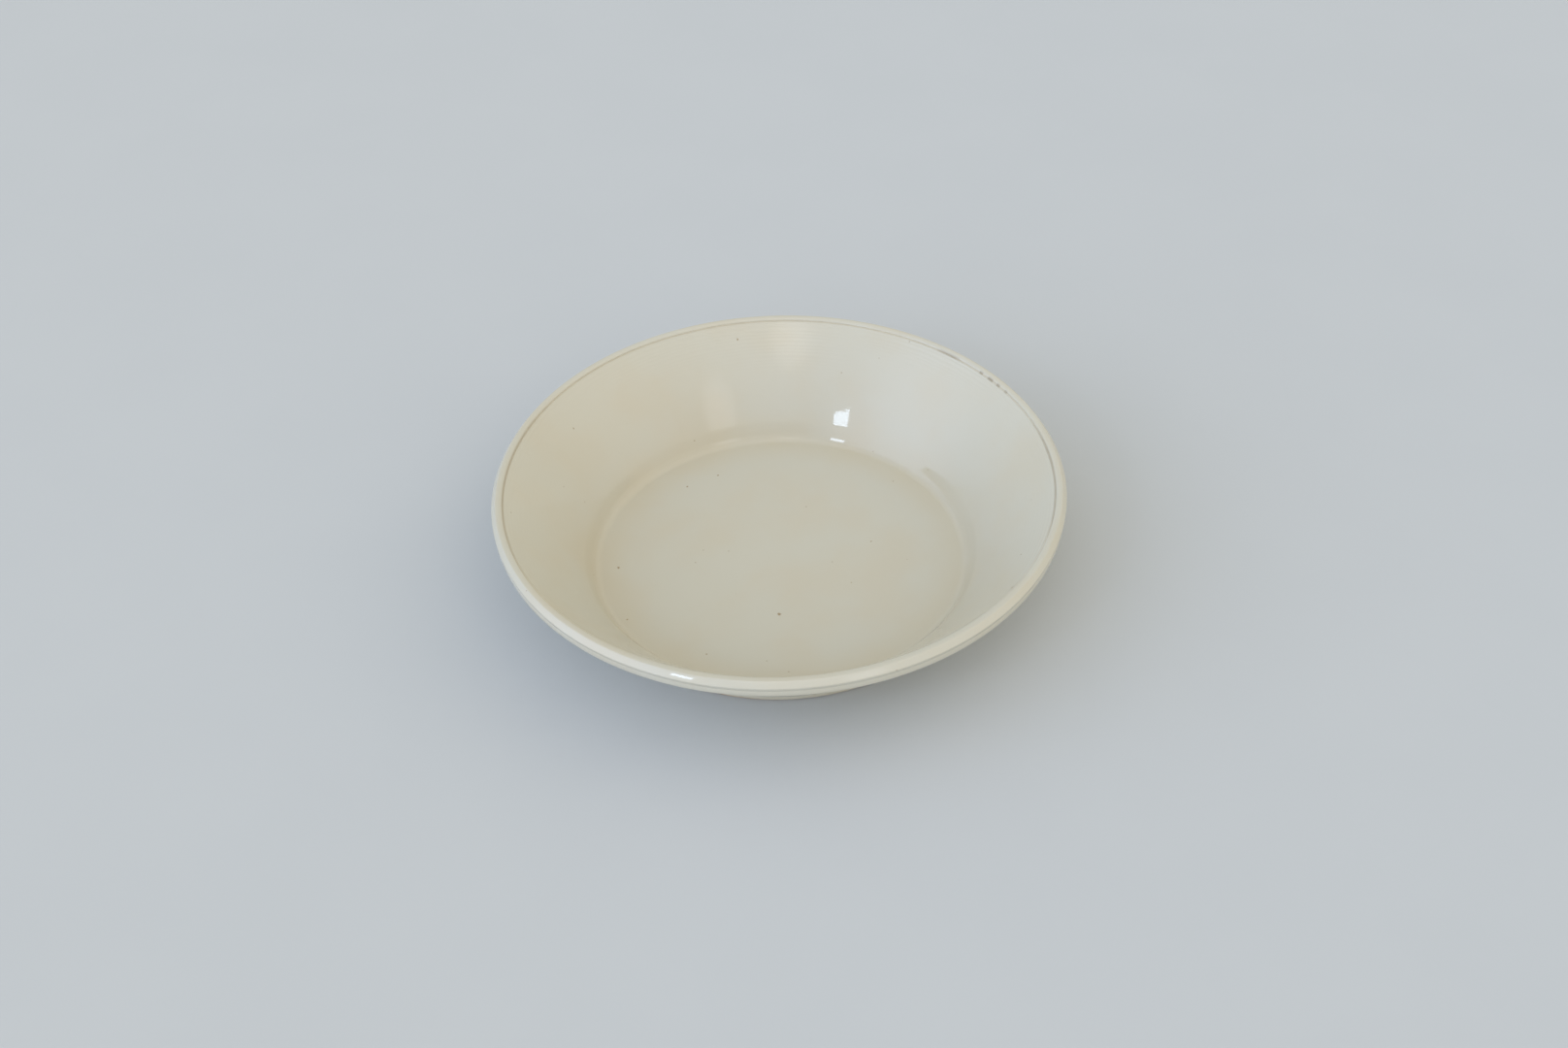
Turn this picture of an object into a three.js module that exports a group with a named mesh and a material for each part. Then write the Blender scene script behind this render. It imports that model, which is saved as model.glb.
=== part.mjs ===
// Deep round plate: a wheel-made clay body under three coats of cream glaze.
// Millimetres, +Z up. The origin is on the axis, at the surface that the plate stands on.
import * as THREE from 'three';

// Overall sizes, measured over the glaze
const RIM_RADIUS = 99.7;
const HEIGHT = 40;

// Lip: a rolled bead with a smaller ring turned under it
const LIP_WIDTH = 4.4; // from the crease inside the bead to its outermost edge
const CREASE_DEPTH = 0.9; // from the top of the bead down to the crease
const CREASE_SLOPE = THREE.MathUtils.degToRad(60); // of the bead where it leaves the crease
const BEAD_SHOULDER = 1.7; // from the outermost edge of the bead in to its top
const BEAD_DROP = 1.8; // from the top of the bead down to its outermost edge
const BEAD_CURL = 1.3; // from there down to the groove
const GROOVE_DEPTH = 0.45; // how far the groove lies inside the bead
const RING_HEIGHT = 2.1;
const RING_REACH = 0.2; // how far the ring stands out of the groove

// Well: a flat floor, a tight corner, a narrow facet, a steep band and a wall that flares to the lip
const FLOOR_RADIUS = 63.5;
const FLOOR_THICKNESS = 3;
const CORNER_RADIUS = 3.5;
const FACET_LENGTH = 1.2;
const FACET_SLOPE = THREE.MathUtils.degToRad(50.6);
const BAND_LENGTH = 4.1;
const BAND_SLOPE = THREE.MathUtils.degToRad(57.4);
const FLARE_SLOPE_LOW = THREE.MathUtils.degToRad(51.6);
const FLARE_SLOPE_HIGH = THREE.MathUtils.degToRad(44.2);
const FLARE_HOLD = 0.34; // share of the flare's length over which each end keeps its slope
const WALL_THICKNESS = 4.6;
const LIP_BLEND = 0.1; // top share of the flare whose outer face runs straight into the ring

// Foot ring, turned under the lower edge of the wall
const FOOT_INSET = 5.3; // from the lower edge of the flare's outer face in to the ring
const FOOT_HEIGHT = 3; // the upright outer face of the ring
const FOOT_WIDTH = 6;
const FOOT_DEPTH = 1.6; // the recess that the ring goes round
const FOOT_EDGE = 0.5; // bevel on both edges of the resting face

// Glaze
const GLAZE_THICKNESS = 0.4;
const GLAZE_SEAM = 0.4; // bare line in the crease, where the inside and outside coats meet
const BARE_FOOT = 0.2; // upright band of bare clay between the bevel of the foot and the glaze
const BARE_RECESS = 1; // bare margin round the coat in the recess

// Facets
const TURN_SEGMENTS = 60;
const FLARE_STEPS = 7;
const CORNER_STEPS = 4;
const BEAD_STEPS = 3;
const RING_STEPS = 4;

const CLAY_COLOUR = '#c9b394';
const CLAY_ROUGHNESS = 0.85;
const GLAZE_COLOUR = '#dcd8c6';
const GLAZE_ROUGHNESS = 0.2;

const floorHeight = FOOT_DEPTH + FLOOR_THICKNESS;
const creaseRadius = RIM_RADIUS - LIP_WIDTH;
const crease = new THREE.Vector2(creaseRadius, HEIGHT - CREASE_DEPTH);
const beadEdgeHeight = HEIGHT - BEAD_DROP;
const grooveRadius = RIM_RADIUS - GROOVE_DEPTH;
const grooveHeight = beadEdgeHeight - BEAD_CURL;
const ringMiddle = grooveHeight - RING_HEIGHT / 2;

// A step of the given length along a slope, as [across, up]
function along(slope, length) {
  return new THREE.Vector2(length * Math.cos(slope), length * Math.sin(slope));
}

// Points on a curve that leaves its start towards a corner and comes to its end from that corner
function bend(start, cornerPoint, end, steps) {
  return new THREE.QuadraticBezierCurve(start, cornerPoint, end).getPoints(steps);
}

// The outline moved by a distance to the right of its direction of travel, with mitred corners
function inset(outline, distance) {
  const normals = outline.slice(1).map((next, i) => {
    const step = next.clone().sub(outline[i]).normalize();
    return new THREE.Vector2(step.y, -step.x);
  });
  return outline.map((point, i) => {
    const before = normals[Math.max(i - 1, 0)];
    const after = normals[Math.min(i, normals.length - 1)];
    const mitre = before.clone().add(after).divideScalar(1 + before.dot(after));
    return point.clone().addScaledVector(mitre, distance);
  });
}

// Tight corner, from the edge of the floor up to the facet
const corner = new THREE.EllipseCurve(
  FLOOR_RADIUS,
  floorHeight + CORNER_RADIUS,
  CORNER_RADIUS,
  CORNER_RADIUS,
  -Math.PI / 2,
  FACET_SLOPE - Math.PI / 2,
).getPoints(CORNER_STEPS);

// The curve of the flare's inner face, from the ridge at the top of the steep band up to the crease
const facetEnd = corner.at(-1).clone().add(along(FACET_SLOPE, FACET_LENGTH));
const ridge = facetEnd.clone().add(along(BAND_SLOPE, BAND_LENGTH));
const flareEnd = crease.clone().sub(along(FLARE_SLOPE_HIGH, GLAZE_SEAM));
const flareHold = FLARE_HOLD * ridge.distanceTo(flareEnd);
const flare = new THREE.CubicBezierCurve(
  ridge,
  ridge.clone().add(along(FLARE_SLOPE_LOW, flareHold)),
  flareEnd.clone().sub(along(FLARE_SLOPE_HIGH, flareHold)),
  flareEnd,
);

// Glazed surface of the well, from the axis outwards and up to the crease
const wellSurface = [
  new THREE.Vector2(0, floorHeight),
  ...corner,
  facetEnd,
  ...flare.getPoints(FLARE_STEPS),
];

// Outer face of the flare, one wall's thickness from the inner face, listed from the top down
const outerFlare = Array.from({ length: FLARE_STEPS }, (_, i) => {
  const share = (1 - LIP_BLEND) * (1 - i / (FLARE_STEPS - 1));
  const tangent = flare.getTangent(share);
  const outwards = new THREE.Vector2(tangent.y, -tangent.x);
  return flare.getPoint(share).addScaledVector(outwards, WALL_THICKNESS);
});
const footRadius = outerFlare.at(-1).x - FOOT_INSET;

// Corners that the lip bends round: the bead's two shoulders, its under edge and the ring's belly
const innerShoulder = new THREE.Vector2(creaseRadius + CREASE_DEPTH / Math.tan(CREASE_SLOPE), HEIGHT);
const beadTop = new THREE.Vector2(RIM_RADIUS - BEAD_SHOULDER, HEIGHT);
const outerShoulder = new THREE.Vector2(RIM_RADIUS, HEIGHT);
const beadEdge = new THREE.Vector2(RIM_RADIUS, beadEdgeHeight);
const underEdge = new THREE.Vector2(RIM_RADIUS, beadEdgeHeight - BEAD_CURL / 2);
const groove = new THREE.Vector2(grooveRadius, grooveHeight);
const ringBelly = new THREE.Vector2(grooveRadius + 2 * RING_REACH, ringMiddle);
const ringEnd = new THREE.Vector2(grooveRadius, grooveHeight - RING_HEIGHT);

// Glazed surface of the lip and the outer wall, from the crease over the bead and down to the bare foot
const outsideSurface = [
  ...bend(crease, innerShoulder, beadTop, BEAD_STEPS),
  ...bend(beadTop, outerShoulder, beadEdge, BEAD_STEPS).slice(1),
  ...bend(beadEdge, underEdge, groove, BEAD_STEPS).slice(1),
  ...bend(groove, ringBelly, ringEnd, RING_STEPS).slice(1),
  ...outerFlare,
  new THREE.Vector2(footRadius, FOOT_HEIGHT),
  new THREE.Vector2(footRadius, FOOT_EDGE + BARE_FOOT),
];

// Outline of the clay: under the coats, then round the bare foot ring and across the recess
const wellClay = inset(wellSurface, GLAZE_THICKNESS);
const outsideClay = inset(outsideSurface, GLAZE_THICKNESS);
const footOuter = outsideClay.at(-1).x;
const footInner = footRadius - FOOT_WIDTH;
const clayOutline = [
  ...wellClay,
  ...outsideClay,
  new THREE.Vector2(footOuter, FOOT_EDGE),
  new THREE.Vector2(footOuter - FOOT_EDGE, 0),
  new THREE.Vector2(footInner + FOOT_EDGE, 0),
  new THREE.Vector2(footInner, FOOT_EDGE),
  new THREE.Vector2(footInner, FOOT_DEPTH),
  new THREE.Vector2(0, FOOT_DEPTH),
];

// A coat fills the space between its glazed surface and the clay
const insideCoat = [...wellSurface, ...wellClay.toReversed()];
const outsideCoat = [...outsideSurface, ...outsideClay.toReversed(), outsideSurface[0]];
const baseCoatRadius = footInner - BARE_RECESS;
const baseCoat = [
  new THREE.Vector2(0, FOOT_DEPTH),
  new THREE.Vector2(baseCoatRadius, FOOT_DEPTH),
  new THREE.Vector2(baseCoatRadius, FOOT_DEPTH - GLAZE_THICKNESS),
  new THREE.Vector2(0, FOOT_DEPTH - GLAZE_THICKNESS),
];

// One turned piece from a clockwise outline of radius and height
function turned(name, outline, colour, roughness) {
  const geometry = new THREE.LatheGeometry(outline.toReversed(), TURN_SEGMENTS);
  geometry.rotateX(Math.PI / 2);
  const material = new THREE.MeshStandardMaterial({ color: colour, roughness, metalness: 0 });
  const mesh = new THREE.Mesh(geometry, material);
  mesh.name = name;
  return mesh;
}

const plate = new THREE.Group();
plate.add(
  turned('clay_body', clayOutline, CLAY_COLOUR, CLAY_ROUGHNESS),
  turned('inside_glaze', insideCoat, GLAZE_COLOUR, GLAZE_ROUGHNESS),
  turned('outside_glaze', outsideCoat, GLAZE_COLOUR, GLAZE_ROUGHNESS),
  turned('base_glaze', baseCoat, GLAZE_COLOUR, GLAZE_ROUGHNESS),
);

export default plate;
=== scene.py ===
"""Deep round plate in cream-glazed stoneware: a thrown clay body under three coats of glaze.

Each piece is drawn as a wire outline of radius and height in the XZ plane, in metres, and spun about
the Z axis. An outline runs with the clay on its right: out over the floor, up the wall, over the lip and
down to the foot.
"""

import math

import bmesh
import bpy
from bpy.props import FloatProperty, FloatVectorProperty, PointerProperty
from mathutils import Euler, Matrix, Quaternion, Vector
from mathutils.geometry import interpolate_bezier


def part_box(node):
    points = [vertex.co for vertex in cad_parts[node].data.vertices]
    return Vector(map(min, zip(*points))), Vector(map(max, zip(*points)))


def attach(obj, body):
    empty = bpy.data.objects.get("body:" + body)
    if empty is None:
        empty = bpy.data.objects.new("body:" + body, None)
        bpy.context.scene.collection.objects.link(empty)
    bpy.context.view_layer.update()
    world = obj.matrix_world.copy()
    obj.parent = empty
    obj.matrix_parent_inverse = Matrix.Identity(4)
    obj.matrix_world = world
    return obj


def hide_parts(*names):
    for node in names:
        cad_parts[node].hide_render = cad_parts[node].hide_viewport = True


bl_info = {
    "name": "Deep Plate",
    "version": (1, 0, 0),
    "blender": (4, 5, 0),
    "location": "View3D > Sidebar > Plate",
    "description": "Models a cream-glazed stoneware plate coat by coat, and sets it on a plain stage",
    "category": "Object",
}

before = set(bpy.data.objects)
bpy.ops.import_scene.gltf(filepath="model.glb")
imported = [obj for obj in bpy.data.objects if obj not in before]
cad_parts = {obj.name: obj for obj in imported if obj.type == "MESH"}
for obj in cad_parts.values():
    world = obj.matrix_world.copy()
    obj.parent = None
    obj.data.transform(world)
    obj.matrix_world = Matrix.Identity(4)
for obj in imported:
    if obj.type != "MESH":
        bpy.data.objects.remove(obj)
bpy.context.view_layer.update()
outside_low, outside_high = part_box("outside_glaze")
inside_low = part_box("inside_glaze")[0]
recess_low, recess_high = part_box("base_glaze")
coat = recess_high.z - recess_low.z

MM = 0.001
RIGHT_ANGLE = math.pi / 2
MERGE_DISTANCE = 0.001 * MM
SENSOR_WIDTH = 36  # of the camera, in millimetres

# Steps of the spin and of each stretch of an outline
SPIN_STEPS = 240
CORNER_STEPS = 24
BEND_STEPS = 6
FACE_STEPS = 170
CLAY_STEPS = 24
BEAD_STEPS = 12
RING_STEPS = 14
EDGE_STEPS = 4

# Uneven lines round the plate, as waves per turn, height and phase in radians
LIP_WAVES = ((2, 1.0, 0.6), (3, 0.5, 2.1))
LEVEL_WAVES = ((2, 0.5, 2.4),)
GLAZE_WAVES = ((3, 0.5, 1.0), (7, 0.3, 2.2), (13, 0.2, 0.0))
RIB_CYCLE = 3.7  # rings of the potter's rib after which their uneven spacing repeats

# Iron specks in the well: angle in degrees from +X, anticlockwise, distance from the axis, and size
SPECK_RAGGED = 0.9 * MM  # how far their edges stray
SPECKS = (
    (267.5, 30.1 * MM, 0.9 * MM),
    (98.6, 90.9 * MM, 0.45 * MM),
    (148.7, 86.4 * MM, 0.4 * MM),
    (130.0, 52.4 * MM, 0.5 * MM),
    (115.9, 51.2 * MM, 0.5 * MM),
    (183.2, 57.8 * MM, 0.6 * MM),
    (209.2, 61.7 * MM, 0.5 * MM),
    (241.4, 55.2 * MM, 0.45 * MM),
    (170.7, 28.0 * MM, 0.35 * MM),
    (10.6, 33.1 * MM, 0.35 * MM),
    (323.0, 94.1 * MM, 0.5 * MM),
    (337.8, 87.3 * MM, 0.35 * MM),
)
# The short stretches near 29 to 47 degrees are brown stain; the wide ones at 180 and 358 degrees are
# painted crease shade.
# Stretches of the crease where the seam is darkened: angle and half-width in degrees, and strength
STAIN_CORE = 1 / 3  # share of the half-width that has the full strength
SEAM_STAINS_AND_SHADE = (
    (180.0, 34.0, 0.2),
    (358.0, 22.0, 0.24),
    (47.2, 3.8, 0.3),
    (37.5, 0.7, 0.4),
    (34.5, 1.1, 0.45),
    (31.8, 0.7, 0.4),
    (29.0, 0.6, 0.3),
)

# The dome's soft lights: degrees round from +X and up, half-width in degrees, colour and level
DOME_LIGHTS = (
    ("horizon", 0, -90, 120, "#eef7ff", 0.33),
    ("window side", 210, 6, 50, "#e0e8ff", 1.82),
    ("upper window side", 209, 44, 69, "#b0c7ff", 0.43),
    ("room side", 320, 45, 69, "#ffecd7", 0.66),
    ("back of the room", 86, 27, 109, "#ffdf9c", 0.14),
    ("left wall", 180, 18, 45, "#d8e6ff", 0.27),
    ("right wall", 15, 12, 60, "#fff2e4", 0.22),
    ("ceiling", 261, 55, 9, "#fff9f0", 1.4),
    ("doorway", 301.5, 38.5, 9, "#f6f8ff", 1.1),
)

# Sockets of a colour Mix node, which shares its names with the node's other types
MIX_FACTOR = 0
MIX_A = 6
MIX_B = 7
MIX_RESULT = 2


def linear(hex_colour):
    """Turns an sRGB hex colour such as #dcd8c6 into linear red, green and blue."""
    channels = [int(hex_colour[i : i + 2], 16) / 255 for i in (1, 3, 5)]
    return tuple(c / 12.92 if c <= 0.04045 else ((c + 0.055) / 1.055) ** 2.4 for c in channels)


def length(name, description, default):
    """A property that holds a length in metres."""
    return FloatProperty(
        name=name,
        description=description,
        default=default,
        min=0,
        precision=5,
        subtype="DISTANCE",
        unit="LENGTH",
    )


def share(name, description, default):
    """A property that holds a share from 0 to 1."""
    return FloatProperty(
        name=name,
        description=description,
        default=default,
        min=0,
        max=1,
        subtype="FACTOR",
    )


def angle(name, description, degrees):
    """A property that holds an angle."""
    return FloatProperty(
        name=name,
        description=description,
        default=math.radians(degrees),
        subtype="ANGLE",
        unit="ROTATION",
    )


def level(name, description, default):
    """A property that holds a level of light, where 1 lights a white surface to white."""
    return FloatProperty(name=name, description=description, default=default, min=0)


def colour(name, description, hex_colour):
    """A property that holds a colour."""
    return FloatVectorProperty(
        name=name,
        description=description,
        default=linear(hex_colour),
        min=0,
        max=1,
        size=3,
        subtype="COLOR",
    )


class PlateSizes(bpy.types.PropertyGroup):
    """Sizes of the plate, measured over the glaze."""

    rim_radius: length("Rim radius", "From the axis to the outermost edge of the lip", outside_high.x)
    height: length("Height", "From the foot to the top of the lip", outside_high.z)
    lip_width: length("Lip width", "From the crease inside the bead to its outermost edge", 4.4 * MM)
    crease_depth: length("Crease depth", "From the top of the bead down to the crease", 0.9 * MM)
    crease_slope: angle("Crease slope", "Slope of the bead where it leaves the crease", 60)
    bead_shoulder: length("Bead shoulder", "From the outermost edge of the bead in to its top", 1.7 * MM)
    bead_drop: length("Bead drop", "From the top of the bead down to its outermost edge", 1.8 * MM)
    bead_hold: share("Bead hold", "Share of the bead's shoulder where each end keeps its slope", 0.08)
    bead_curl: length("Bead curl", "From the outermost edge of the bead down to the groove", 1.3 * MM)
    groove_depth: length("Groove depth", "How far the groove lies inside the bead", 0.38 * MM)
    ring_height: length("Ring height", "Height of the smaller ring under the bead", 2.1 * MM)
    ring_reach: length("Ring reach", "How far the ring stands out of the groove", 0.14 * MM)
    lip_narrow: share("Narrow lip", "How much narrower the lip is at its narrowest place", 0.3)
    lip_wide_at: angle("Widest lip", "Direction of the widest place of the lip, from +X", 270)
    floor_radius: length("Floor radius", "From the axis to the start of the corner", 63.5 * MM)
    floor_height: length("Floor height", "From the foot to the glazed floor", inside_low.z + coat)
    corner_radius: length("Corner radius", "Radius of the tight corner between floor and wall", 3.5 * MM)
    facet: length("Facet", "Width of the narrow facet above the corner", 1.2 * MM)
    facet_slope: angle("Facet slope", "Slope of the facet", 50.6)
    band: length("Band", "Width of the steep band between the facet and the ridge", 4.1 * MM)
    band_slope: angle("Band slope", "Slope of the steep band", 57.4)
    band_round: length("Band rounding", "Reach of the rounding below the band, to each side", 0.5 * MM)
    ridge_round: length("Ridge rounding", "Reach of the rounding of the ridge, to each side", 1 * MM)
    flare_low: angle("Low slope", "Slope of the wall where it leaves the ridge", 51.6)
    flare_high: angle("High slope", "Slope of the wall where it meets the lip", 44.2)
    flare_hold: share("Flare hold", "Share of the flare over which each end keeps its slope", 0.34)
    wall_thickness: length("Wall thickness", "Thickness of the wall with its coats", 4.6 * MM)
    lip_blend: share("Lip blend", "Top share of the wall whose outside runs straight into the ring", 0.1)
    foot_inset: length("Foot inset", "From the low end of the wall's outer face in to the foot", 5.3 * MM)
    foot_height: length("Foot height", "Height of the upright outer face of the foot", 3 * MM)
    foot_waist: length("Foot waist", "Rounding where the wall turns down into the foot", 1.2 * MM)
    foot_width: length("Foot width", "Width of the foot ring", 6 * MM)
    foot_depth: length("Foot depth", "Depth of the recess inside the foot ring", recess_high.z)
    foot_edge: length("Foot edge", "Radius of the edges of the foot ring", 0.5 * MM)
    coat: length("Coat", "Thickness of the glaze", coat)
    coat_edge: length("Coat edge", "Rounding of the edges of a coat", 0.1 * MM)
    seam: length("Seam", "Bare line in the crease, where two coats meet", 0.4 * MM)
    seam_fill: length("Seam fill", "Depth of the seam below the glaze", 0.02 * MM)
    bare_foot: length("Bare foot", "Height of bare clay on the outside of the foot", outside_low.z)
    recess_radius: length("Recess coat", "Radius of the coat in the recess", recess_high.x)
    rib_pitch: length("Rib pitch", "Spacing of the rings that the potter's rib left on the wall", 1.4 * MM)
    rib_relief: length("Rib relief", "Height of those rings at the top of the wall", 0.02 * MM)
    rib_fade: length("Rib fade", "Distance below the lip over which the rings fade", 9 * MM)
    wobble: length("Wobble", "How far the lip strays from a true circle", 0.18 * MM)
    run: length("Run", "How far the glaze line strays up and down the foot", 0.2 * MM)


class PlateFinish(bpy.types.PropertyGroup):
    """Colours of the glaze and the clay."""

    glaze: colour("Glaze", "Cream glaze of usual thickness", "#c6c3b4")
    glaze_thin: colour("Thin glaze", "Where the glaze lies thin and the clay warms it", "#c6bea9")
    # Yellower where glaze pooled in the corner, and also painted corner shade, warmed by light bounced off
    # the cream walls
    glaze_pooled_and_bounce_shade: colour("Pooled glaze", "Where the glaze ran thick round the corner", "#c8bc9e")
    speck: colour("Speck", "Iron specks in the glaze", "#8a6f43")
    # Brown stain in the short stretches of the seam, painted crease shade in the wide ones at either side
    # of the plate
    stain_and_shade: colour("Stain", "Seam where the clay shows, darkened by use", "#6f5a3c")
    clay: colour("Clay", "Bare fired stoneware", "#c4ad8b")
    clay_toasted: colour("Toasted clay", "Patches of bare clay, flashed by the kiln", "#a98a63")
    grit: colour("Grit", "Dark grit in the clay", "#6b5640")


class PlateStage(bpy.types.PropertyGroup):
    """Floor, light and camera."""

    floor: colour("Floor", "Matte studio floor", "#c2c6c8")
    floor_shade: colour("Floor shade", "Faint darker patches of the floor", "#b0b5b9")
    floor_reach: length("Floor reach", "From the plate to the edges of the floor", 30)
    dome: colour("Dome", "Even light from all round", "#f5fffd")
    dome_level: level("Dome level", "Level of the even light", 0.505)
    window: colour("Window", "Small bright window", "#d4e8ff")
    window_level: level("Window level", "Radiance of the window", 11)
    window_around: angle("Window direction", "Direction of the window round the plate, from +X", 231.8)
    window_up: angle("Window elevation", "Angle of the window above the floor", 37.3)
    window_away: length("Window distance", "From the plate to the window", 2.5)
    window_width: length("Window width", "Width of the window", 0.29)
    window_height: length("Window height", "Height of the window", 0.19)
    lens: FloatProperty(
        name="Lens",
        description="Focal length on a 36 mm sensor, in millimetres",
        default=50,
        min=1,
        subtype="DISTANCE_CAMERA",
        unit="CAMERA",
    )
    camera_aim: length("Camera aim", "Height of the point on the axis that the camera circles", 37.3 * MM)
    camera_distance: length("Camera distance", "From that point to the camera", 754.6 * MM)
    camera_up: angle("Camera elevation", "Angle of the camera above that point", 40.06)
    camera_pitch: angle("Camera pitch", "How far the camera looks below that point", 1.009)
    camera_yaw: angle("Camera yaw", "How far the camera looks to the right of that point", 0.147)
    camera_roll: angle("Camera roll", "How far the camera leans", 1.88)


def slope_step(slope):
    """A step one metre long up a slope."""
    return Vector((math.cos(slope), 0, math.sin(slope)))


def arc(centre, radius, start, end, steps):
    """Points on an arc in the half-plane of radius and height."""
    turn = (end - start) / steps
    return [centre + radius * slope_step(start + turn * i) for i in range(steps + 1)]


def bend(start, knee, end, steps):
    """Points on a curve that leaves its start towards a knee and comes to its end from that knee."""
    return interpolate_bezier(start, start.lerp(knee, 2 / 3), end.lerp(knee, 2 / 3), end, steps + 1)


def rounded(knee, slope_before, slope_after, reach):
    """A knee between two slopes, rounded over the given reach to each side."""
    start = knee - reach * slope_step(slope_before)
    end = knee + reach * slope_step(slope_after)
    return bend(start, knee, end, BEND_STEPS)


def left_normals(outline):
    """The mitred normal at each point, to the left of the outline's direction of travel."""
    steps = [(b - a).normalized() for a, b in zip(outline, outline[1:])]
    normals = [Vector((-step.z, 0, step.x)) for step in steps]
    pairs = zip(normals[:1] + normals, normals + normals[-1:])
    return [(before + after) / (1 + before.dot(after)) for before, after in pairs]


def moved(outline, distance):
    """The outline moved to the left of its direction of travel."""
    return [point + distance * normal for point, normal in zip(outline, left_normals(outline))]


def ringed(outline, pitch, relief, fade):
    """The outline with shallow uneven rings, highest at its end and fading back from there."""
    points = []
    back = 0.0
    after = outline[-1]
    for point, normal in zip(reversed(outline), reversed(left_normals(outline))):
        back += (after - point).length
        after = point
        turns = back / pitch
        ring = math.sin(math.tau * turns + math.sin(math.tau * turns / RIB_CYCLE))
        points.append(point + relief * math.exp(-back / fade) * ring * normal)
    return points[::-1]


def crease(sizes):
    """The crease inside the bead."""
    return Vector((sizes.rim_radius - sizes.lip_width, 0, sizes.height - sizes.crease_depth))


def corner(sizes):
    """The tight corner, from the edge of the floor up to the facet."""
    radius = sizes.corner_radius
    centre = Vector((sizes.floor_radius, 0, sizes.floor_height + radius))
    return arc(centre, radius, -RIGHT_ANGLE, sizes.facet_slope - RIGHT_ANGLE, CORNER_STEPS)


def facet_end(sizes):
    """The line where the narrow facet turns up into the steep band."""
    return corner(sizes)[-1] + sizes.facet * slope_step(sizes.facet_slope)


def ridge(sizes):
    """The faint ridge at the top of the steep band, where the flare starts."""
    return facet_end(sizes) + sizes.band * slope_step(sizes.band_slope)


def flare(sizes, low, steps):
    """Inner face of the wall, from a point at the ridge up to the seam."""
    high = crease(sizes) - sizes.seam * slope_step(sizes.flare_high)
    hold = sizes.flare_hold * (high - low).length
    low_handle = low + hold * slope_step(sizes.flare_low)
    high_handle = high - hold * slope_step(sizes.flare_high)
    return interpolate_bezier(low, low_handle, high_handle, high, steps + 1)


def well_face(sizes, flare_steps):
    """Glazed face of the well, from the axis over the floor and up to the seam."""
    below = rounded(facet_end(sizes), sizes.facet_slope, sizes.band_slope, sizes.band_round)
    above = rounded(ridge(sizes), sizes.band_slope, sizes.flare_low, sizes.ridge_round)
    middle = Vector((0, 0, sizes.floor_height))
    return [middle] + corner(sizes) + below + above[:-1] + flare(sizes, above[-1], flare_steps)


def lip_face(sizes):
    """Glazed face of the lip: the rolled bead, the groove and the smaller ring under it."""
    start = crease(sizes)
    shoulder = Vector((start.x + sizes.crease_depth / math.tan(sizes.crease_slope), 0, sizes.height))
    top = Vector((sizes.rim_radius - sizes.bead_shoulder, 0, sizes.height))
    edge = Vector((sizes.rim_radius, 0, sizes.height - sizes.bead_drop))
    top_handle = top + Vector((sizes.bead_hold * sizes.bead_shoulder, 0, 0))
    edge_handle = edge + Vector((0, 0, sizes.bead_hold * sizes.bead_drop))
    under = edge - Vector((0, 0, sizes.bead_curl / 2))
    groove = edge - Vector((sizes.groove_depth, 0, sizes.bead_curl))
    belly = groove + Vector((2 * sizes.ring_reach, 0, -sizes.ring_height / 2))
    ring_end = groove - Vector((0, 0, sizes.ring_height))
    return (
        bend(start, shoulder, top, BEAD_STEPS)
        + interpolate_bezier(top, top_handle, edge_handle, edge, BEAD_STEPS + 1)[1:]
        + bend(edge, under, groove, BEND_STEPS)[1:]
        + bend(groove, belly, ring_end, RING_STEPS)[1:]
    )


def outside_face(sizes):
    """Glazed face of the lip and the outer wall, from the seam down to the bare foot."""
    wall = moved(flare(sizes, ridge(sizes), CLAY_STEPS), -sizes.wall_thickness)
    kept = round((1 - sizes.lip_blend) * CLAY_STEPS) + 1
    foot_radius = wall[0].x - sizes.foot_inset
    foot = [Vector((foot_radius, 0, height)) for height in (sizes.foot_height, sizes.bare_foot)]
    return lip_face(sizes) + wall[:kept][::-1] + foot


def foot_ring(sizes, outer_radius):
    """Corners of the foot ring, from the outside of the foot in to the recess."""
    inner_radius = outer_radius + sizes.coat - sizes.foot_width
    return [
        Vector((outer_radius, 0, 0)),
        Vector((inner_radius, 0, 0)),
        Vector((inner_radius, 0, sizes.foot_depth)),
    ]


def wire(bm, outline, closed):
    """Draws an outline as wire edges and returns its vertices."""
    verts = [bm.verts.new(point) for point in outline]
    following = verts[1:] + verts[:1] if closed else verts[1:]
    for pair in zip(verts, following):
        bm.edges.new(pair)
    return verts


def round_off(bm, verts, reach):
    """Rounds corners of a wire outline, reaching the same distance along both sides of each."""
    bmesh.ops.bevel(
        bm,
        geom=verts,
        offset=reach,
        offset_type="OFFSET",
        affect="VERTICES",
        segments=EDGE_STEPS,
        profile=0.5,
        material=-1,
    )


def spin(bm):
    """Spins a wire outline once about the axis, and closes the seam and the poles."""
    bmesh.ops.spin(
        bm,
        geom=bm.verts[:] + bm.edges[:],
        cent=(0, 0, 0),
        axis=(0, 0, 1),
        angle=math.tau,
        steps=SPIN_STEPS,
        use_merge=True,
    )
    bmesh.ops.remove_doubles(bm, verts=bm.verts, dist=MERGE_DISTANCE)
    bmesh.ops.recalc_face_normals(bm, faces=bm.faces)


def uneven(around, waves):
    """The height of an uneven line at an angle round the plate."""
    return sum(height * math.sin(count * around + phase) for count, height, phase in waves)


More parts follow.
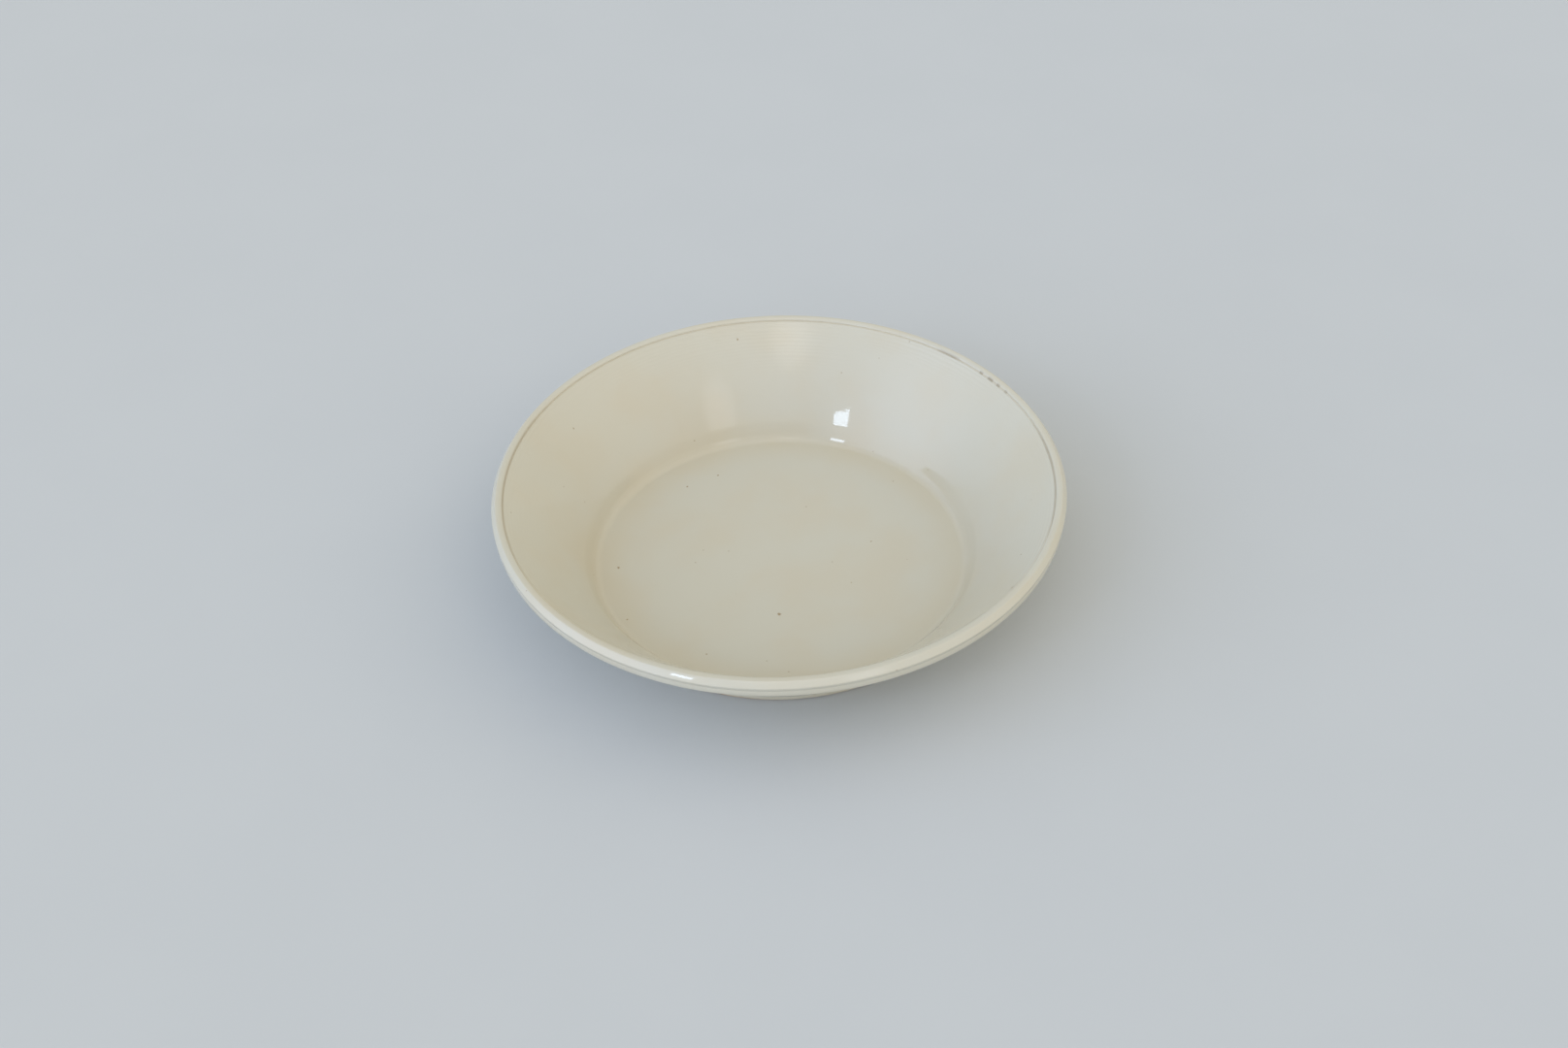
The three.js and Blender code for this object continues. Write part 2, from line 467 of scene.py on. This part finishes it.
def throw_by_hand(bm, sizes):
    """Lets the lip vary in width and stray from a true circle and level, with the foot still flat."""
    lip_start = crease(sizes).x
    for vert in bm.verts:
        around = math.atan2(vert.co.y, vert.co.x)
        lift = sizes.wobble * (vert.co.z / sizes.height) ** 2
        stretch = 1 + lift / sizes.rim_radius * uneven(around, LIP_WAVES)
        radius = math.hypot(vert.co.x, vert.co.y)
        if radius > lip_start:
            narrowed = sizes.lip_narrow * (1 - math.cos(around - sizes.lip_wide_at)) / 2
            stretch *= 1 - narrowed * (radius - lip_start) / radius
        vert.co.x *= stretch
        vert.co.y *= stretch
        vert.co.z += lift * uneven(around, LEVEL_WAVES)


def finish_piece(name, bm, sizes, material, node):
    """Makes the bmesh an object of the plate that stands for a node of the frame."""
    throw_by_hand(bm, sizes)
    mesh = bpy.data.meshes.new(name)
    bm.to_mesh(mesh)
    bm.free()
    mesh.shade_smooth()
    mesh.materials.append(material)
    piece = bpy.data.objects.new(name, mesh)
    bpy.context.scene.collection.objects.link(piece)
    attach(piece, "root")
    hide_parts(node)


def add(tree, kind, inputs, output=0, **settings):
    """Adds a shader node, sets its options, and fills or links its inputs. Returns one of its outputs."""
    node = tree.nodes.new("ShaderNode" + kind)
    for option, value in settings.items():
        setattr(node, option, value)
    for key, value in inputs.items():
        if isinstance(value, bpy.types.NodeSocket):
            tree.links.new(value, node.inputs[key])
        else:
            node.inputs[key].default_value = value
    return node.outputs[output] if node.outputs else None


def opaque(rgb):
    """A colour with full alpha, as node sockets take it."""
    return (*rgb, 1)


def new_material(name):
    """An empty node material and its tree."""
    material = bpy.data.materials.new(name)
    material.use_nodes = True
    material.node_tree.nodes.clear()
    return material, material.node_tree


def half_plane(tree, place):
    """A place as seen from above, and as its radius in X and its height in Z."""
    x, y, z = add(tree, "SeparateXYZ", {"Vector": place}).node.outputs
    plan = add(tree, "CombineXYZ", {"X": x, "Y": y})
    radius = add(tree, "VectorMath", {0: plan}, "Value", operation="LENGTH")
    return plan, add(tree, "CombineXYZ", {"X": radius, "Z": z})


def seam_stain_and_shade(tree, plan):
    """How much the seam is darkened at each angle round the plate: brown stain in the short stretches,
    painted crease shade in the wide ones.
    """
    towards = add(tree, "VectorMath", {0: plan}, operation="NORMALIZE")
    stain_and_shade = 0.0
    for degrees, half_width, strength in SEAM_STAINS_AND_SHADE:
        middle = Quaternion((0, 0, 1), math.radians(degrees)) @ Vector((1, 0, 0))
        facing = add(tree, "VectorMath", {0: towards, 1: middle}, "Value", operation="DOT_PRODUCT")
        ends = {
            "Value": facing,
            "From Min": math.cos(math.radians(half_width)),
            "From Max": math.cos(math.radians(half_width * STAIN_CORE)),
            "To Max": strength,
        }
        stretch = add(tree, "MapRange", ends, interpolation_type="SMOOTHSTEP")
        stain_and_shade = add(tree, "Math", {0: stain_and_shade, 1: stretch}, operation="MAXIMUM")
    return stain_and_shade


def placed_specks(tree, plan):
    """Iron specks at their places in the well, with ragged edges."""
    ragged = add(tree, "TexNoise", {"Vector": plan, "Scale": 1 / SPECK_RAGGED, "Detail": 2.0}, "Color")
    offset = add(tree, "VectorMath", {0: ragged, 1: (0.5, 0.5, 0.5)}, operation="SUBTRACT")
    stirred = {0: offset, 1: (SPECK_RAGGED, SPECK_RAGGED, 0), 2: plan}
    shifted = add(tree, "VectorMath", stirred, operation="MULTIPLY_ADD")
    found = 0.0
    for degrees, distance, size in SPECKS:
        place = Quaternion((0, 0, 1), math.radians(degrees)) @ Vector((distance, 0, 0))
        away = add(tree, "VectorMath", {0: shifted, 1: place}, "Value", operation="DISTANCE")
        edge = {"Value": away, "From Min": 0.35 * size, "From Max": size, "To Min": 0.75, "To Max": 0.0}
        speck = add(tree, "MapRange", edge, interpolation_type="SMOOTHSTEP")
        found = add(tree, "Math", {0: found, 1: speck}, operation="MAXIMUM")
    return found


def cream_glaze(name, finish, sizes, with_specks):
    """Poured cream glaze over stoneware, fired glossy.

    It gives the eye a sharp gloss over a soft, slightly cloudy cream, yellower round the corner of the
    well, where the glaze ran thick and where corner shade warmed by bounce light is painted in, warmer
    where it lies thin, with a seam darkened by brown stain in short stretches and by painted crease shade
    in wide ones, a few iron specks and a faint orange peel.
    """
    material, tree = new_material(name)
    place = add(tree, "TexCoord", {}, "Object")
    plan, half = half_plane(tree, place)

    cloud = add(tree, "TexNoise", {"Vector": place, "Scale": 1 / (26 * MM), "Detail": 3.0})
    faint = {"Value": cloud, "From Min": 0.35, "From Max": 0.75, "To Max": 0.55}
    thin = add(tree, "MapRange", faint, interpolation_type="SMOOTHSTEP")
    layers = {MIX_FACTOR: thin, MIX_A: opaque(finish.glaze), MIX_B: opaque(finish.glaze_thin)}
    base = add(tree, "Mix", layers, MIX_RESULT, data_type="RGBA")

    # A yellower, slightly darker ring round the corner of the well, fading over 14 mm: partly glaze pooled
    # thick there, partly painted corner shade warmed by bounce light.
    deepest = corner(sizes)[CORNER_STEPS // 2]
    from_corner = add(tree, "VectorMath", {0: half, 1: deepest}, "Value", operation="DISTANCE")
    pool_and_bounce_shade = {"Value": from_corner, "From Min": MM, "From Max": 14 * MM, "To Min": 0.3, "To Max": 0.0}
    pooled_and_bounce_shade = add(tree, "MapRange", pool_and_bounce_shade, interpolation_type="SMOOTHSTEP")
    layers = {MIX_FACTOR: pooled_and_bounce_shade, MIX_A: base, MIX_B: opaque(finish.glaze_pooled_and_bounce_shade)}
    base = add(tree, "Mix", layers, MIX_RESULT, data_type="RGBA")

    # A dark line beside the crease: brown stain in the short stretches, painted crease shade in the wide
    # ones at either side of the plate.
    from_crease = add(tree, "VectorMath", {0: half, 1: crease(sizes)}, "Value", operation="DISTANCE")
    line = {"Value": from_crease, "From Min": 0.25 * MM, "From Max": 0.8 * MM, "To Min": 1.0, "To Max": 0.0}
    beside = add(tree, "MapRange", line, interpolation_type="SMOOTHSTEP")
    stain_and_shade = add(tree, "Math", {0: beside, 1: seam_stain_and_shade(tree, plan)}, operation="MULTIPLY")
    layers = {MIX_FACTOR: stain_and_shade, MIX_A: base, MIX_B: opaque(finish.stain_and_shade)}
    base = add(tree, "Mix", layers, MIX_RESULT, data_type="RGBA")

    scattered = add(tree, "TexVoronoi", {"Vector": place, "Scale": 1 / (8 * MM)})
    dot = {"Value": scattered, "From Min": 0.02, "From Max": 0.05, "To Min": 0.45, "To Max": 0.0}
    specks = add(tree, "MapRange", dot, interpolation_type="SMOOTHSTEP")
    if with_specks:
        specks = add(tree, "Math", {0: specks, 1: placed_specks(tree, plan)}, operation="MAXIMUM")
    layers = {MIX_FACTOR: specks, MIX_A: base, MIX_B: opaque(finish.speck)}
    base = add(tree, "Mix", layers, MIX_RESULT, data_type="RGBA")

    peel = add(tree, "TexNoise", {"Vector": place, "Scale": 1 / (2.2 * MM), "Detail": 2.0})
    bump = add(tree, "Bump", {"Strength": 0.15, "Distance": 0.02 * MM, "Height": peel})
    smear = add(tree, "TexNoise", {"Vector": place, "Scale": 1 / (14 * MM), "Detail": 3.0})
    limits = {"Value": smear, "From Min": 0.3, "From Max": 0.75, "To Min": 0.03, "To Max": 0.07}
    gloss = add(tree, "MapRange", limits, interpolation_type="SMOOTHSTEP")
    surface = {"Base Color": base, "Roughness": gloss, "IOR": 1.5, "Normal": bump}
    shader = add(tree, "BsdfPrincipled", surface)
    add(tree, "OutputMaterial", {"Surface": shader})
    return material


def bare_stoneware(finish, sizes):
    """Bare fired stoneware, turned on the wheel.

    It gives the eye a dry, matte buff with toasted brown patches, dark grit and fine turning lines. In the
    seam at the crease it is nearly as pale as the glaze, apart from short stretches darkened by brown stain
    and wide ones darkened by painted crease shade.
    """
    material, tree = new_material("bare stoneware")
    place = add(tree, "TexCoord", {}, "Object")
    plan, half = half_plane(tree, place)

    body = add(tree, "TexNoise", {"Vector": place, "Scale": 1 / (9 * MM), "Detail": 5.0})
    patches = {"Value": body, "From Min": 0.35, "From Max": 0.7}
    toasted = add(tree, "MapRange", patches, interpolation_type="SMOOTHSTEP")
    layers = {MIX_FACTOR: toasted, MIX_A: opaque(finish.clay), MIX_B: opaque(finish.clay_toasted)}
    base = add(tree, "Mix", layers, MIX_RESULT, data_type="RGBA")

    grains = add(tree, "TexVoronoi", {"Vector": place, "Scale": 1 / (1.6 * MM)})
    dot = {"Value": grains, "From Min": 0.1, "From Max": 0.2, "To Min": 0.7, "To Max": 0.0}
    grit = add(tree, "MapRange", dot, interpolation_type="SMOOTHSTEP")
    layers = {MIX_FACTOR: grit, MIX_A: base, MIX_B: opaque(finish.grit)}
    base = add(tree, "Mix", layers, MIX_RESULT, data_type="RGBA")

    # The seam's clay takes the pale glaze colour, darkened by brown stain in the short stretches and by
    # painted crease shade in the wide ones.
    stained_and_shaded = seam_stain_and_shade(tree, plan)
    layers = {MIX_FACTOR: stained_and_shaded, MIX_A: opaque(finish.glaze_thin), MIX_B: opaque(finish.stain_and_shade)}
    seam_colour = add(tree, "Mix", layers, MIX_RESULT, data_type="RGBA")
    from_crease = add(tree, "VectorMath", {0: half, 1: crease(sizes)}, "Value", operation="DISTANCE")
    near = {"Value": from_crease, "From Min": 2 * MM, "From Max": 3 * MM, "To Min": 1.0, "To Max": 0.0}
    in_seam = add(tree, "MapRange", near, interpolation_type="SMOOTHSTEP")
    layers = {MIX_FACTOR: in_seam, MIX_A: base, MIX_B: seam_colour}
    base = add(tree, "Mix", layers, MIX_RESULT, data_type="RGBA")

    turning = {"Vector": place, "Scale": 1 / (2.2 * MM * math.pi), "Distortion": 1.5, "Detail": 2.0}
    lines = add(tree, "TexWave", turning, "Fac", wave_type="RINGS", rings_direction="Z")
    bump = add(tree, "Bump", {"Strength": 0.5, "Distance": 0.05 * MM, "Height": lines})
    shader = add(tree, "BsdfPrincipled", {"Base Color": base, "Roughness": 0.85, "Normal": bump})
    add(tree, "OutputMaterial", {"Surface": shader})
    return material


def studio_floor(stage):
    """Matte paint on a studio floor, an even pale grey with a faint cloudiness to catch shadows."""
    material, tree = new_material("matte studio floor")
    place = add(tree, "TexCoord", {}, "Object")
    cloud = add(tree, "TexNoise", {"Vector": place, "Scale": 1 / (60 * MM), "Detail": 4.0})
    faint = {"Value": cloud, "From Min": 0.3, "From Max": 0.7, "To Max": 0.06}
    shade = add(tree, "MapRange", faint, interpolation_type="SMOOTHSTEP")
    layers = {MIX_FACTOR: shade, MIX_A: opaque(stage.floor), MIX_B: opaque(stage.floor_shade)}
    base = add(tree, "Mix", layers, MIX_RESULT, data_type="RGBA")
    shader = add(tree, "BsdfPrincipled", {"Base Color": base, "Roughness": 0.95, "Specular IOR Level": 0.1})
    add(tree, "OutputMaterial", {"Surface": shader})
    return material


class PLATE_OT_throw_body(bpy.types.Operator):
    """Throw the clay body with its foot ring, and fill the seam in the crease"""

    bl_idname = "plate.throw_body"
    bl_label = "Throw clay body"

    def execute(self, context):
        sizes = context.scene.plate_sizes
        well = moved(well_face(sizes, CLAY_STEPS), -sizes.coat)
        outside = moved(outside_face(sizes), -sizes.coat)
        sunk = Vector((0, 0, sizes.seam_fill))
        seam = [crease(sizes) - sizes.seam * slope_step(sizes.flare_high) - sunk, crease(sizes) - sunk]
        foot = foot_ring(sizes, outside[-1].x)
        recess_middle = Vector((0, 0, sizes.foot_depth))
        bm = bmesh.new()
        verts = wire(bm, well + seam + outside + foot + [recess_middle], closed=False)
        # The outside ends with the low end of the wall, the top of the foot and the line of bare clay
        wall_end = len(well + seam + outside) - 3
        ring = wall_end + 3
        round_off(bm, verts[wall_end : wall_end + 2], sizes.foot_waist)
        round_off(bm, verts[ring : ring + len(foot)], sizes.foot_edge)
        spin(bm)
        clay = bare_stoneware(context.scene.plate_finish, sizes)
        finish_piece("thrown_body", bm, sizes, clay, "clay_body")
        return {"FINISHED"}


class PLATE_OT_glaze_well(bpy.types.Operator):
    """Pour the coat over the floor and the wall, up to the crease"""

    bl_idname = "plate.glaze_well"
    bl_label = "Glaze well"

    def execute(self, context):
        sizes = context.scene.plate_sizes
        face = ringed(well_face(sizes, FACE_STEPS), sizes.rib_pitch, sizes.rib_relief, sizes.rib_fade)
        under = moved(well_face(sizes, CLAY_STEPS), -sizes.coat)
        bm = bmesh.new()
        verts = wire(bm, face + under[::-1], closed=False)
        round_off(bm, verts[len(face) - 1 : len(face) + 1], sizes.coat_edge)
        spin(bm)
        glaze = cream_glaze("cream glaze, poured in the well", context.scene.plate_finish, sizes, True)
        finish_piece("well_glaze", bm, sizes, glaze, "inside_glaze")
        return {"FINISHED"}


class PLATE_OT_glaze_outside(bpy.types.Operator):
    """Pour the coat over the lip and the outer wall, down to the bare foot"""

    bl_idname = "plate.glaze_outside"
    bl_label = "Glaze outside"

    def execute(self, context):
        sizes = context.scene.plate_sizes
        face = outside_face(sizes)
        under = moved(face, -sizes.coat)
        bm = bmesh.new()
        verts = wire(bm, face + under[::-1], closed=True)
        # The face ends at the line of bare clay, after the low end of the wall and the top of the foot
        bare = len(face) - 1
        round_off(bm, verts[bare - 2 : bare] + verts[bare + 2 : bare + 4], sizes.foot_waist)
        round_off(bm, [verts[0], verts[bare], verts[bare + 1], verts[-1]], sizes.coat_edge)
        spin(bm)
        reach = sizes.foot_height - sizes.bare_foot
        for vert in bm.verts:
            above = vert.co.z - sizes.bare_foot
            if above < reach:
                around = math.atan2(vert.co.y, vert.co.x)
                vert.co.z += sizes.run * uneven(around, GLAZE_WAVES) * min(1, 1 - above / reach)
        glaze = cream_glaze("cream glaze, poured outside", context.scene.plate_finish, sizes, False)
        finish_piece("lip_and_wall_glaze", bm, sizes, glaze, "outside_glaze")
        return {"FINISHED"}


class PLATE_OT_glaze_recess(bpy.types.Operator):
    """Pour the coat into the recess inside the foot ring"""

    bl_idname = "plate.glaze_recess"
    bl_label = "Glaze recess"

    def execute(self, context):
        sizes = context.scene.plate_sizes
        heights = (sizes.foot_depth, sizes.foot_depth - sizes.coat)
        middles = [Vector((0, 0, height)) for height in heights]
        edges = [Vector((sizes.recess_radius, 0, height)) for height in heights]
        bm = bmesh.new()
        verts = wire(bm, [middles[0], *edges, middles[1]], closed=False)
        round_off(bm, verts[1:3], sizes.coat_edge)
        spin(bm)
        for vert in bm.verts:
            around = math.atan2(vert.co.y, vert.co.x)
            inwards = 1 - sizes.run / sizes.recess_radius * (1 + uneven(around, GLAZE_WAVES))
            vert.co.x *= inwards
            vert.co.y *= inwards
        glaze = cream_glaze("cream glaze, poured in the recess", context.scene.plate_finish, sizes, False)
        finish_piece("recess_glaze", bm, sizes, glaze, "base_glaze")
        return {"FINISHED"}


def direction(around, up):
    """A step one metre long in a direction round from +X and up from the floor."""
    return Euler((0, -up, around)).to_matrix() @ Vector((1, 0, 0))


def dome(stage):
    """The studio's soft light: an even dome, brighter and cooler on one side, with two small lights."""
    world = bpy.data.worlds.new("studio dome")
    world.use_nodes = True
    tree = world.node_tree
    tree.nodes.clear()
    towards = add(tree, "TexCoord", {}, "Generated")
    light = add(tree, "VectorMath", {0: stage.dome, 3: stage.dome_level}, operation="SCALE")
    for name, around, up, half_width, hex_colour, strength in DOME_LIGHTS:
        middle = direction(math.radians(around), math.radians(up))
        facing = add(
            tree,
            "VectorMath",
            {0: towards, 1: middle},
            "Value",
            operation="DOT_PRODUCT",
            label=name,
        )
        edge = {"Value": facing, "From Min": math.cos(math.radians(half_width)), "To Max": strength}
        lobe = add(tree, "MapRange", edge, interpolation_type="SMOOTHSTEP")
        glow = add(tree, "VectorMath", {0: linear(hex_colour), "Scale": lobe}, operation="SCALE")
        light = add(tree, "VectorMath", {0: light, 1: glow}, operation="ADD")
    background = add(tree, "Background", {"Color": light, "Strength": 1.0})
    add(tree, "OutputWorld", {"Surface": background})
    return world


class PLATE_OT_set_stage(bpy.types.Operator):
    """Lay the floor, hang the lights and place the camera"""

    bl_idname = "plate.set_stage"
    bl_label = "Set stage"

    def execute(self, context):
        scene = context.scene
        stage = scene.plate_stage
        bm = bmesh.new()
        bmesh.ops.create_grid(bm, x_segments=1, y_segments=1, size=stage.floor_reach)
        mesh = bpy.data.meshes.new("studio_floor")
        bm.to_mesh(mesh)
        bm.free()
        mesh.materials.append(studio_floor(stage))
        floor = bpy.data.objects.new("studio_floor", mesh)
        scene.collection.objects.link(floor)

        scene.world = dome(stage)
        window = bpy.data.lights.new("window", "AREA")
        window.shape = "RECTANGLE"
        window.size = stage.window_width
        window.size_y = stage.window_height
        window.color = stage.window
        # A flat lamp's radiance is its power over pi times its area
        window.energy = stage.window_level * math.pi * window.size * window.size_y
        lamp = bpy.data.objects.new("window", window)
        lamp.location = stage.window_away * direction(stage.window_around, stage.window_up)
        lamp.rotation_euler = lamp.location.to_track_quat("Z", "Y").to_euler()
        scene.collection.objects.link(lamp)

        camera = bpy.data.cameras.new("camera")
        camera.lens = stage.lens
        camera.sensor_width = SENSOR_WIDTH
        viewer = bpy.data.objects.new("camera", camera)
        aim = Vector((0, 0, stage.camera_aim))
        viewer.location = aim + stage.camera_distance * direction(-RIGHT_ANGLE, stage.camera_up)
        down = stage.camera_up + stage.camera_pitch
        upright = Euler((RIGHT_ANGLE - down, 0, -stage.camera_yaw)).to_quaternion()
        viewer.rotation_mode = "QUATERNION"
        viewer.rotation_quaternion = upright @ Quaternion((0, 0, 1), -stage.camera_roll)
        scene.collection.objects.link(viewer)
        scene.camera = viewer
        scene.view_settings.view_transform = "Standard"
        return {"FINISHED"}


OPERATORS = (
    PLATE_OT_throw_body,
    PLATE_OT_glaze_well,
    PLATE_OT_glaze_outside,
    PLATE_OT_glaze_recess,
    PLATE_OT_set_stage,
)


class PLATE_PT_build(bpy.types.Panel):
    """Lists the steps that make the plate"""

    bl_idname = "PLATE_PT_build"
    bl_label = "Deep Plate"
    bl_space_type = "VIEW_3D"
    bl_region_type = "UI"
    bl_category = "Plate"

    def draw(self, context):
        for operator in OPERATORS:
            self.layout.operator(operator.bl_idname)


GROUPS = {"plate_sizes": PlateSizes, "plate_finish": PlateFinish, "plate_stage": PlateStage}
CLASSES = (*GROUPS.values(), *OPERATORS, PLATE_PT_build)


def register():
    for cls in CLASSES:
        bpy.utils.register_class(cls)
    for name, group in GROUPS.items():
        setattr(bpy.types.Scene, name, PointerProperty(type=group))


def unregister():
    for name in GROUPS:
        delattr(bpy.types.Scene, name)
    for cls in reversed(CLASSES):
        bpy.utils.unregister_class(cls)


def main():
    register()
    bpy.ops.plate.throw_body()
    bpy.ops.plate.glaze_well()
    bpy.ops.plate.glaze_outside()
    bpy.ops.plate.glaze_recess()
    bpy.ops.plate.set_stage()


if __name__ == "__main__":
    main()
